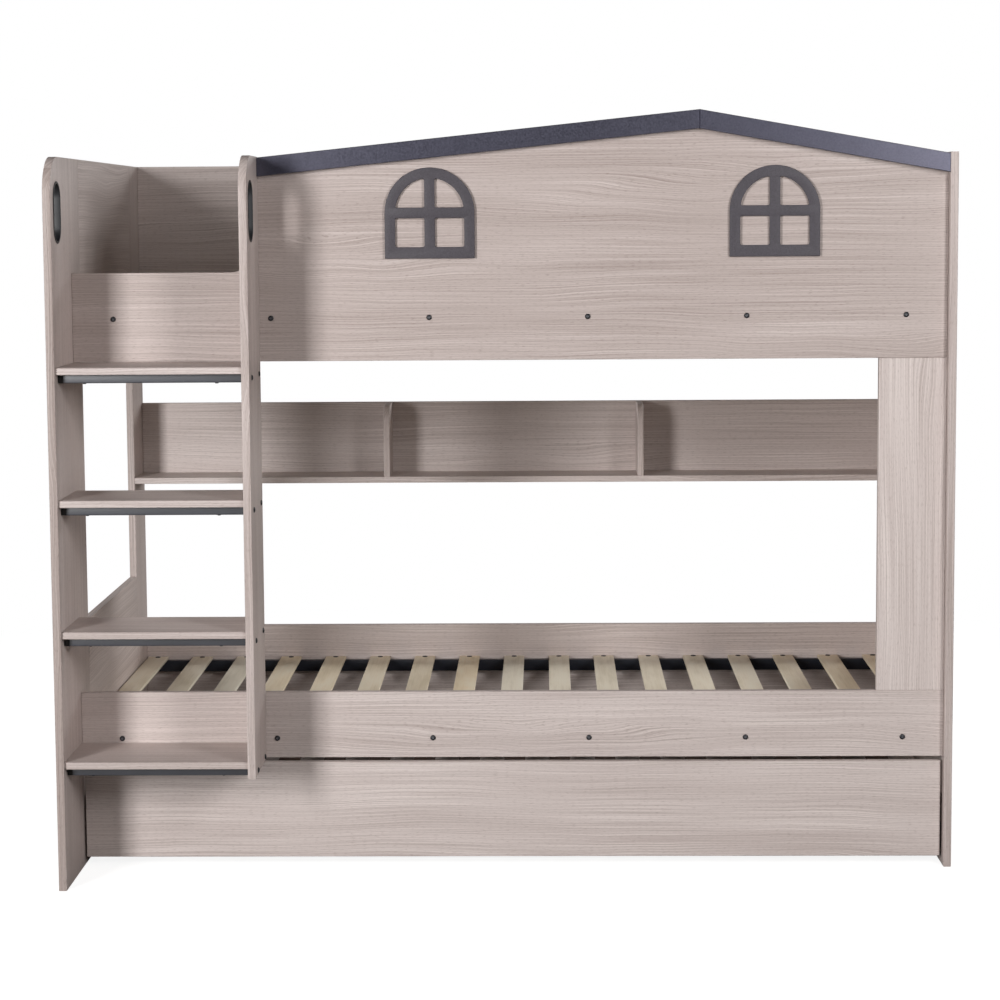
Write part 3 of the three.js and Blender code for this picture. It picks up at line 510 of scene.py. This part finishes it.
def window_outlines():
    """The arched rim and the four panes. An upper pane runs up its bar to where the bar meets the
    inner arch, and down that arch to the crossbar."""
    half, bar_half = WINDOW_WIDTH / 2, WINDOW_BAR / 2
    spring, pane_half = WINDOW_HIGH - half, half - WINDOW_BAR
    upper_low, lower_high = CROSSBAR_Z + bar_half, CROSSBAR_Z - bar_half
    lower_low = WINDOW_LOW + WINDOW_SILL
    start = math.degrees(math.asin((upper_low - spring) / pane_half))
    stop = math.degrees(math.acos(bar_half / pane_half))
    rim = np.concatenate(([[-half, WINDOW_LOW], [half, WINDOW_LOW]],
                          arc((0, spring), half, 0, 180, RIM_POINTS)))
    upper = np.concatenate(([[bar_half, upper_low]], arc((0, spring), pane_half, start, stop, PANE_POINTS)))
    lower = np.array([[bar_half, lower_low], [pane_half, lower_low], [pane_half, lower_high],
                      [bar_half, lower_high]])
    panes = [softened(pane, PANE_CORNER) * (side, 1) for pane in (upper, lower) for side in (1, -1)]
    return [softened(rim, FOOT_CORNER)] + panes


matt_lacquer = slate_finish("slate_matt_lacquer", "#403b41", "#504b52", PAINT_GRIT_MM, 0.55, PAINT_RELIEF)
for side, centre in WINDOW_CENTRES.items():
    on_guard = seat((centre, -WINDOW_THICK / 2 - SEAT_GAP, 0.0), "x", "z", "y")
    window = cut_from_board(window_outlines(), WINDOW_THICK, WINDOW_EASE, on_guard)
    new_piece(f"window_frame_{side}_arch", [window], matt_lacquer, "frame",
              [f"window_frame_{side}"], smooth_below=40)


# Ladder sides: the left front board, which is also the front leg, and the ladder's right side.
# Both are 18 mm board with one big rounding at the top front corner, edged all round, and an
# oval hand hole lined with a black moulded ring that is pressed in from the right.
BOARD, BOARD_EASE = 18.0, 1.0
LADDER_DEPTH, LEG_DEPTH, STEP_LENGTH = 215.0, 110.0, 415.0
BED_HEIGHT, STILE_LOW, TOP_CORNER = 1654.0, 257.0, 85.0
CORNER_POINTS, GRIP_POINTS = 49, 33
GRIP_CENTRE = (-146.5, 1530.0)
GRIP_RADIUS, GRIP_LIFT, GRIP_LIP = 39.0, 30.5, 3.0
# The ring's section: how far each point lies outside the lip's oval, and how far it is from the
# board's left face. It is a thin sleeve in the hole, with a rounded lip over its right edge.
LINING = np.array([(-3.3, 0.6), (-3.3, 18.3), (-0.5, 18.3), (-0.1, 18.5), (0.0, 18.9), (-0.3, 19.4),
                   (-1.0, 19.7), (-2.0, 19.8), (-4.0, 19.8), (-5.0, 19.6), (-5.5, 19.0), (-5.7, 18.2),
                   (-5.7, 1.0), (-5.4, 0.4), (-4.5, 0.2), (-3.6, 0.3)])


def grip_outline(offset):
    """Oval of two half rounds and two straight sides, grown by an offset."""
    low = arc((GRIP_CENTRE[0], GRIP_CENTRE[1] - GRIP_LIFT), GRIP_RADIUS + offset, 180, 360, GRIP_POINTS)
    high = arc((GRIP_CENTRE[0], GRIP_CENTRE[1] + GRIP_LIFT), GRIP_RADIUS + offset, 0, 180, GRIP_POINTS)
    return np.concatenate((high, low))


def ladder_side(rear, foot):
    """Upright rectangle from the ladder's front to a rear edge and from a foot to the top, its
    top front corner a quarter round."""
    round_centre = (TOP_CORNER - LADDER_DEPTH, BED_HEIGHT - TOP_CORNER)
    return np.concatenate(([[-LADDER_DEPTH, foot], [rear, foot], [rear, BED_HEIGHT]],
                           arc(round_centre, TOP_CORNER, 90, 180, CORNER_POINTS)))


def grid_faces(rows, columns, closed=False):
    """Four-sided faces between neighbours on a grid whose rows are closed loops. closed also
    joins the last row to the first."""
    i, j = np.meshgrid(np.arange(rows if closed else rows - 1), np.arange(columns), indexing="ij")
    next_i, next_j = (i + 1) % rows, (j + 1) % columns
    quads = (i * columns + j, i * columns + next_j, next_i * columns + next_j, next_i * columns + j)
    return [tuple(quad) for quad in np.stack(quads, -1).reshape(-1, 4)]


def grip_ring(board_left):
    """The lining's section carried round the grip: each of its points is an oval of its own."""
    ovals = np.stack([grip_outline(outside) for outside, _ in LINING])
    across = np.broadcast_to((board_left + LINING[:, 1])[:, None, None], ovals[..., :1].shape)
    rows, columns = ovals.shape[:2]
    return np.concatenate((across, ovals), 2).reshape(-1, 3), grid_faces(rows, columns, closed=True)


def moulded_black():
    """Moulded black ABS: its gloss is broken up by a faint haze, which also ripples it."""
    material, add = new_material("gloss_black_abs")
    spot = add("ShaderNodeTexCoord").outputs["Object"]
    haze = add("ShaderNodeTexNoise", {"Vector": spot, "Scale": 60.0, "Detail": 3.0})
    shade = add("ShaderNodeValToRGB", (haze,), stops=((0.3, colour_of("#101114")),
                                                      (0.7, colour_of("#17181c"))))
    rough = add("ShaderNodeMapRange", {0: haze, 3: 0.48, 4: 0.60})
    ripple = add("ShaderNodeBump", {"Strength": 0.15, "Distance": 0.0002, "Height": haze})
    skin = add("ShaderNodeBsdfPrincipled", {"Base Color": shade, "Roughness": rough, "IOR": 1.54,
                                            "Normal": ripple})
    add("ShaderNodeOutputMaterial", (skin,))
    return material


black_abs = moulded_black()
for side, board_name, board_left, rear, foot, foil in (
        ("left", "left_front_board", -BOARD, LEG_DEPTH, 0.0, foils["leg"]),
        ("right", "ladder_stile_right", STEP_LENGTH, -SEAT_GAP, STILE_LOW, foils["upright"])):
    on_end = seat((board_left + BOARD / 2, 0.0, 0.0), "y", "z", "x")
    edged = cut_from_board([ladder_side(rear, foot), grip_outline(-GRIP_LIP)], BOARD, BOARD_EASE, on_end)
    new_piece(f"{board_name}_edged", [edged], foil, "frame", [board_name], smooth_below=30)
    new_piece(f"{side}_grip_ring", [grip_ring(board_left)], black_abs, "frame",
              [f"{side}_grip_lining"], smooth_below=50)


# Steps: 16 mm boards, each on two square steel tubes in grey powder coat. A moulded plug closes
# each tube end, a black bolt goes through the ladder side into it, and two small pan head screws
# go up through the tube into the board.
LOWEST_STEP_TOP, STEP_RISE, STEP_THICK = 294.0, 297.333, 16.0
TUBE, TUBE_ROUND = 20.0, 2.6
TUBE_Y = {"front": -170.0, "rear": -35.0}
PLUG_LEFT, PLUG_RIGHT, PLUG_GAP = 12.0, 5.0, 0.1
PLUG_EASE, PLUG_END = 0.6, 0.96
HEAD_RADIUS, HEAD_HIGH, HEAD_RIM = 6.4, 3.2, 0.4
SOCKET_RADIUS, SOCKET_DEEP = 2.4, 1.2
SCREW_X = (58.0, 355.0)
SCREW_RADIUS, SCREW_HIGH, SCREW_SIDES = 4.2, 2.3, 20
BOLT_SIDES, SOCKET_ROWS = 36, 3
# A button head's radius and height, from its seat over a rim and a dome down into the socket.
DOME_SLOPES = np.radians((0, 15, 30, 45, 60))
BOLT_ROWS = [(HEAD_RADIUS - 0.3, 0.0),
             *zip(HEAD_RADIUS * np.cos(DOME_SLOPES),
                  HEAD_RIM + (HEAD_HIGH - HEAD_RIM) * np.sin(DOME_SLOPES) / 0.9),
             (SOCKET_RADIUS + 0.4, HEAD_HIGH), (SOCKET_RADIUS, HEAD_HIGH - 0.2),
             (SOCKET_RADIUS, HEAD_HIGH - SOCKET_DEEP), (0.4, HEAD_HIGH - SOCKET_DEEP - 0.3)]


def rounded_section(width, height, radius, count=5):
    """Rectangle about the origin with quarter-round corners."""
    w, h = width / 2 - radius, height / 2 - radius
    corners = ((w, h, 0), (-w, h, 90), (-w, -h, 180), (w, -h, 270))
    return np.concatenate([arc((x, y), radius, start, start + 90, count) for x, y, start in corners])


def capped_faces(rows, columns):
    """The faces of a grid whose rows are closed loops, with a cap on the first and the last."""
    last = (rows - 1) * columns
    return grid_faces(rows, columns) + [tuple(range(columns)), tuple(range(last, last + columns))]


def bar(section, stations, placed):
    """A closed bar: one section carried along stations of (place along, size share), capped at
    both ends. placed turns (across, up, along) into millimetres."""
    count = len(section)
    rings = np.concatenate([np.column_stack((section * share, np.full(count, along)))
                            for along, share in stations])
    return placed(rings), capped_faces(len(stations), count)


def turned(profile, placed, count=32, socket_rows=(), through=False):
    """A turned shell: (radius, height) pairs spun round the height axis, and closed at both ends
    or, with through, from the last pair to the first. Rows named in socket_rows are six-sided
    instead of round. placed turns (across, up, height) into millimetres."""
    profile = np.asarray(profile, float)
    angle = np.linspace(0, 2 * np.pi, count, endpoint=False)
    shape = np.ones((len(profile), count))
    shape[list(socket_rows)] = 1 / np.cos((angle + np.pi / 6) % (np.pi / 3) - np.pi / 6)
    radius = profile[:, :1] * shape
    high = np.broadcast_to(profile[:, 1:], radius.shape)
    points = np.stack((radius * np.cos(angle), radius * np.sin(angle), high), -1).reshape(-1, 3)
    rows = len(profile)
    faces = grid_faces(rows, count, closed=True) if through else capped_faces(rows, count)
    return placed(points), faces


def button_bolt(placed):
    """Button head with a six-sided socket, its seat at height nought."""
    rows = len(BOLT_ROWS)
    return turned(BOLT_ROWS, placed, BOLT_SIDES, range(rows - SOCKET_ROWS, rows - 1))


def mark_pale_sockets(piece, heads):
    """Marks with one the points inside the sockets: the last rows of each of the first heads."""
    marked = np.zeros(len(piece.data.vertices), np.float32)
    for i in range(heads):
        last = (i + 1) * len(BOLT_ROWS) * BOLT_SIDES
        marked[last - SOCKET_ROWS * BOLT_SIDES:last] = 1.0
    pale_socket = piece.data.attributes.new("pale_socket", "FLOAT", "POINT")
    pale_socket.data.foreach_set("value", marked)


def pan_head(radius, high, placed, sides):
    """Low round head whose rim rises and then flattens towards the middle."""
    rows = [(radius * 0.95, 0.0), (radius, high * 0.3), (radius * 0.93, high * 0.65),
            (radius * 0.7, high * 0.92), (radius * 0.3, high)]
    return turned(rows, placed, sides)


def coated(name, dark, pale, cloud_mm, grit_mm, roughness, ior=1.5, metallic=0.0, relief=0.00015,
           sheen=0.5, pale_socket=None):
    """A skin of one colour with a faint cloud, a fine grit in its height and an uneven gloss.
    The pale socket colour, when given, is its colour where the piece is marked."""
    material, add = new_material(name)
    spot = add("ShaderNodeTexCoord").outputs["Object"]
    cloud = add("ShaderNodeTexNoise", {"Vector": spot, "Scale": 1000 / cloud_mm, "Detail": 3.0})
    grit = add("ShaderNodeTexNoise", {"Vector": spot, "Scale": 1000 / grit_mm, "Detail": 2.0})
    shade = add("ShaderNodeValToRGB", (cloud,), stops=((0.3, colour_of(dark)), (0.7, colour_of(pale))))
    rough = add("ShaderNodeMapRange", {0: grit, 3: roughness - 0.07, 4: roughness + 0.07})
    raised = add("ShaderNodeBump", {"Strength": 0.4, "Distance": relief, "Height": grit})
    if pale_socket:
        marked = add("ShaderNodeAttribute", attribute_name="pale_socket").outputs["Fac"]
        shade = add("ShaderNodeMix", {0: marked, 6: shade, 7: colour_of(pale_socket)},
                    data_type="RGBA").outputs[2]
    sockets = {"Base Color": shade, "Roughness": rough, "Metallic": metallic, "Normal": raised}
    if not metallic:
        sockets.update({"IOR": ior, "Specular IOR Level": sheen})
    add("ShaderNodeOutputMaterial", (add("ShaderNodeBsdfPrincipled", sockets),))
    return material


# Powder coat on the step tubes bakes into a satin skin with a fine orange-peel.
grey_powder = coated("grey_powder_coat", "#2f3139", "#3b3d46", 90, 2.2, 0.35, ior=1.6, sheen=1.0)
# The bolts' black passivated zinc is dull, and drawn pale inside the socket.
black_bolt = coated("black_passivated_zinc", "#1b1b1f", "#26262b", 8, 1.2, 0.42, relief=0.00005,
                    pale_socket="#58585d")
# Moulded nylon is a soft black with the faint grain of its mould.
black_nylon = coated("black_moulded_nylon", "#111214", "#18191b", 30, 1.4, 0.45)

tube_section = rounded_section(TUBE, TUBE, TUBE_ROUND)
low_x, high_x = SEAT_GAP, STEP_LENGTH - SEAT_GAP
# The steps are numbered from the top, and made from the lowest up.
for steps_up, number in enumerate((4, 3, 2, 1)):
    tube_z = LOWEST_STEP_TOP + STEP_RISE * steps_up - STEP_THICK - SEAT_GAP - TUBE / 2
    for end, y in TUBE_Y.items():
        label = f"step_{number}_{end}"
        along_x = seat((0.0, y, tube_z), "y", "z", "x")
        on_left = seat((-BOARD - SEAT_GAP, y, tube_z), "y", "z", "-x")
        on_right = seat((STEP_LENGTH + BOARD + SEAT_GAP, y, tube_z), "y", "z", "x")
        new_piece(f"{label}_steel_tube",
                  [bar(tube_section, ((low_x + PLUG_LEFT, 1.0), (high_x - PLUG_RIGHT, 1.0)), along_x)],
                  grey_powder, "frame", [f"{label}_tube"], smooth_below=50)
        left_plug = ((low_x, PLUG_END), (low_x + PLUG_EASE, 1.0), (low_x + PLUG_LEFT - PLUG_GAP, 1.0))
        right_plug = ((high_x - PLUG_RIGHT + PLUG_GAP, 1.0), (high_x - PLUG_EASE, 1.0), (high_x, PLUG_END))
        new_piece(f"{label}_end_plugs",
                  [bar(tube_section, plug, along_x) for plug in (left_plug, right_plug)],
                  black_nylon, "frame", smooth_below=50)
        under = [seat((x, y, tube_z - TUBE / 2), "x", "y", "-z") for x in SCREW_X]
        screws = [pan_head(SCREW_RADIUS, SCREW_HIGH, placed, SCREW_SIDES) for placed in under]
        bolts = [button_bolt(on_left), button_bolt(on_right)]
        fixings = new_piece(f"{label}_fixings", bolts + screws, black_bolt, "frame",
                            smooth_below=40)
        mark_pale_sockets(fixings, len(bolts))


# Slatted bases: a black powder-coated steel bearer bolted along each rail, with seventeen flat
# birch slats laid across and pinned down at both ends with black nylon pins. The bed's slats are
# sanded and left bare. The trundle's are drawn dark brown as painted shade, so that the gap above
# its board shows no pale wood.
BED_DEPTH, INNER_LENGTH = 946.0, 2010.0
BOX_SHORTER, BOX_INSET = 4.0, 24.0
SLAT_COUNT, SLAT_WIDTH, SLAT_THICK, SLAT_ROUND, SLAT_CORNER_POINTS = 17, 54.5, 8.0, 1.6, 4
SLAT_SHORTER, SLAT_EASE, SLAT_END, SLAT_SKEW = 3.0, 0.6, 0.985, 1.2
BEARER_HIGH, BEARER_DEEP, BEARER_ROUND = 30.0, 20.0, 2.4
BOLT_X = [95.0 + 364.0 * i for i in range(6)]
PIN_INSET, PIN_RADIUS, PIN_HIGH, PIN_SIDES = 11.0, 7.2, 1.8, 16
SLAT_GRAIN_MM, SLAT_FIBRE_MM = 3.5, 166.7
SLAT_CLOUD_MM, SLAT_CLOUD_LONG_MM = 38.46, 200.0
SLAT_STOPS = (0.45, 0.8, 1.0)
TONE_SEED, MOSTLY_COOL = 11, 1.6


def sanded_birch(name, cool, warm):
    """Birch grain along Y between two sets of stops: each slat lies somewhere from cool to warm.
    Fine fibres and broad clouds are noise divided by their own widths and lengths, moved on for
    each slat by its tone. The grain also gives a dry, slightly furry gloss."""
    material, add = new_material(name)
    spot = add("ShaderNodeTexCoord").outputs["Object"]
    own = add("ShaderNodeAttribute", attribute_name="slat_tone").outputs["Fac"]
    moved = add("ShaderNodeCombineXYZ", (own, own, 0.0))
    place = add("ShaderNodeVectorMath", (spot, moved), operation="ADD")
    fine = (1000 / SLAT_GRAIN_MM, 1000 / SLAT_FIBRE_MM, 1000 / SLAT_GRAIN_MM)
    broad = (1000 / SLAT_CLOUD_MM, 1000 / SLAT_CLOUD_LONG_MM, 1000 / SLAT_CLOUD_MM)
    fine_place = add("ShaderNodeVectorMath", (place, fine), operation="MULTIPLY")
    grain = add("ShaderNodeTexNoise", {"Vector": fine_place, "Scale": 1.0, "Detail": 4.0,
                                       "Roughness": 0.62})
    broad_place = add("ShaderNodeVectorMath", (place, broad), operation="MULTIPLY")
    cloud = add("ShaderNodeTexNoise", {"Vector": broad_place, "Scale": 1.0, "Detail": 3.0})
    tone = add("ShaderNodeMath", (grain, 0.55, cloud), operation="MULTIPLY_ADD")
    cool_shade, warm_shade = (
        add("ShaderNodeValToRGB", (tone,), stops=tuple(zip(SLAT_STOPS, map(colour_of, stop_colours))))
        for stop_colours in (cool, warm))
    shade = add("ShaderNodeMix", {0: own, 6: cool_shade, 7: warm_shade}, data_type="RGBA").outputs[2]
    raised = add("ShaderNodeBump", {"Strength": 0.3, "Distance": 0.0002, "Height": grain})
    rough = add("ShaderNodeMapRange", {0: grain, 3: 0.55, 4: 0.75})
    skin = add("ShaderNodeBsdfPrincipled", {"Base Color": shade, "Roughness": rough, "IOR": 1.45,
                                            "Normal": raised})
    add("ShaderNodeOutputMaterial", (skin,))
    return material


bare_birch = sanded_birch("bare_sanded_birch", ("#d8ceb8", "#efe6d3", "#f1ead8"),
                          ("#e1cba5", "#f5e2c2", "#f7e9ce"))
# The trundle's slats in dark brown: painted shade for the dim box under the bed.
painted_shade_birch = sanded_birch("birch_dark_as_painted_shade", ("#4c3f3a", "#5b4c45", "#64554d"),
                             ("#523f35", "#644f43", "#6c574a"))
# Black powder coat is a satin skin with a cast of blue and a fine orange-peel.
black_powder = coated("black_powder_coat", "#181a22", "#21242e", 60, 2.0, 0.34)


def slatted_base(deck, body, bearer_z, rails, ends, first_x, pitch, bolted, wood):
    """Both bearers, their bolts, the slats and the pins of one deck. rails are the two inner
    faces that the bearers lie against, and ends where the bearers end."""
    front_y, rear_y = rails
    sides = (("front", front_y + BEARER_DEEP / 2, f"{deck}_front_bearer", -SEAT_GAP, "-y"),
             ("rear", rear_y - BEARER_DEEP / 2, f"{deck}_slats_on_rear_bearer", BED_DEPTH + SEAT_GAP, "y"))
    section = rounded_section(BEARER_DEEP, BEARER_HIGH, BEARER_ROUND)
    for end, y, replaced, face_y, outwards in sides:
        along_x = seat((0.0, y, bearer_z), "y", "z", "x")
        new_piece(f"{deck}_{end}_steel_bearer", [bar(section, [(x, 1.0) for x in ends], along_x)],
                  black_powder, body, [replaced], smooth_below=50)
        if bolted:
            heads = [button_bolt(seat((x, face_y, bearer_z), "x", "z", outwards)) for x in BOLT_X]
            row = new_piece(f"{deck}_{end}_bolts", heads, black_bolt, body, smooth_below=40)
            mark_pale_sockets(row, len(heads))
    slat_z = bearer_z + BEARER_HIGH / 2 + SEAT_GAP
    low_y, high_y = front_y + SLAT_SHORTER, rear_y - SLAT_SHORTER
    stations = ((low_y, SLAT_END), (low_y + SLAT_EASE, 1.0), (high_y - SLAT_EASE, 1.0), (high_y, SLAT_END))
    slat_section = rounded_section(SLAT_WIDTH, SLAT_THICK, SLAT_ROUND, SLAT_CORNER_POINTS)
    draw = np.random.default_rng(TONE_SEED + len(deck))
    slats, tones, pins = [], [], []
    for i in range(SLAT_COUNT):
        centre = first_x + i * pitch + SLAT_WIDTH / 2
        skew = draw.uniform(-SLAT_SKEW, SLAT_SKEW)
        across_bed = seat((centre, 0.0, slat_z + SLAT_THICK / 2), "x", "z", "y")
        points, faces = bar(slat_section, stations, across_bed)
        points[:, 0] += (points[:, 1] - high_y) / (high_y - low_y) * skew
        slats.append((points, faces))
        tones.append(np.full(len(points), draw.uniform(0.0, 1.0) ** MOSTLY_COOL))
        for y in (low_y + PIN_INSET, high_y - PIN_INSET):
            on_slat = seat((centre, y, slat_z + SLAT_THICK), "x", "y", "z")
            pins.append(pan_head(PIN_RADIUS, PIN_HIGH, on_slat, PIN_SIDES))
    boards = new_piece(f"{deck}_slats", slats, wood, body, smooth_below=50)
    tone = boards.data.attributes.new("slat_tone", "FLOAT", "POINT")
    tone.data.foreach_set("value", np.concatenate(tones).astype(np.float32))
    new_piece(f"{deck}_slat_pins", pins, black_nylon, body, smooth_below=40)


BED_RAILS = (BOARD + SEAT_GAP, BED_DEPTH - BOARD - SEAT_GAP)
BOX_BOARDS = (BOARD + SEAT_GAP, BED_DEPTH - BOX_SHORTER - BOARD - SEAT_GAP)
BED_ENDS = (SEAT_GAP, INNER_LENGTH - SEAT_GAP)
BOX_ENDS = (BOX_INSET + SEAT_GAP, INNER_LENGTH - BOX_INSET - SEAT_GAP)
BED_BEARER_Z = {"lower": 304.0, "upper": 1285.0}
BOX_BEARER_Z = 83.0
for deck, bearer_z in BED_BEARER_Z.items():
    slatted_base(deck, "frame", bearer_z, BED_RAILS, BED_ENDS, first_x=5.0, pitch=121.2, bolted=True,
                 wood=bare_birch)
slatted_base("trundle", "trundle", BOX_BEARER_Z, BOX_BOARDS, BOX_ENDS, first_x=34.0, pitch=118.0,
             bolted=False, wood=painted_shade_birch)


# Trundle castors: four nylon wheels with a crowned tread, each on a zinc-plated axle in a moulded
# hood that is screwed inside a corner of the box. They are hidden until the box is out.
WHEEL_RADIUS, WHEEL_SIDES = 25.0, 48
AXLE_RADIUS, AXLE_HALF, AXLE_EASE, AXLE_SIDES = 3.0, 16.0, 0.5, 24
HOOD_WIDTH = 32.0
CASTOR_X = {"left": BOX_ENDS[0] + HOOD_WIDTH / 2, "right": BOX_ENDS[1] - HOOD_WIDTH / 2}
CASTOR_Y = {"front": 100.0, "rear": 840.0}
# Half of the wheel's section, from the bore over the hub, the sunk web and the rim to the crown.
WHEEL_PROFILE = [(3.1, -10.0), (7.4, -10.0), (8.0, -9.4), (8.6, -5.6), (9.4, -5.0), (17.0, -5.4),
                 (18.0, -6.4), (18.6, -8.6), (19.4, -9.0), (22.6, -9.0), (24.0, -8.0), (24.8, -5.0),
                 (WHEEL_RADIUS, 0.0)]
WHEEL_ROWS = WHEEL_PROFILE + [(radius, -height) for radius, height in reversed(WHEEL_PROFILE[:-1])]
AXLE_ROWS = [(AXLE_RADIUS - AXLE_EASE, -AXLE_HALF), (AXLE_RADIUS, AXLE_EASE - AXLE_HALF),
             (AXLE_RADIUS, AXLE_HALF - AXLE_EASE), (AXLE_RADIUS - AXLE_EASE, AXLE_HALF)]
# The tread is a matt grey moulding, the hood a satin black one, and zinc plate a pale soft shine.
grey_tyre = coated("grey_moulded_tyre", "#2c2d30", "#36373a", 20, 1.6, 0.55)
hood_plastic = coated("black_moulded_hood", "#151618", "#1d1e20", 40, 1.6, 0.42)
zinc = coated("zinc_plated_steel", "#8f9296", "#a9acb0", 6, 1.0, 0.32, metallic=1.0, relief=0.00003)
for side, x in CASTOR_X.items():
    for end, y in CASTOR_Y.items():
        on_axle = seat((x, y, WHEEL_RADIUS), "y", "z", "x")
        new_piece(f"wheel_{end}_{side}_tread", [turned(WHEEL_ROWS, on_axle, WHEEL_SIDES, through=True)],
                  grey_tyre, f"wheel_{end}_{side}", [f"wheel_{end}_{side}"],
                  smooth_below=30)
        new_piece(f"axle_{end}_{side}_pin", [turned(AXLE_ROWS, on_axle, AXLE_SIDES)], zinc, "trundle",
                  [f"wheel_axle_{end}_{side}"], smooth_below=30)
        cover(f"wheel_housing_{end}_{side}", hood_plastic)
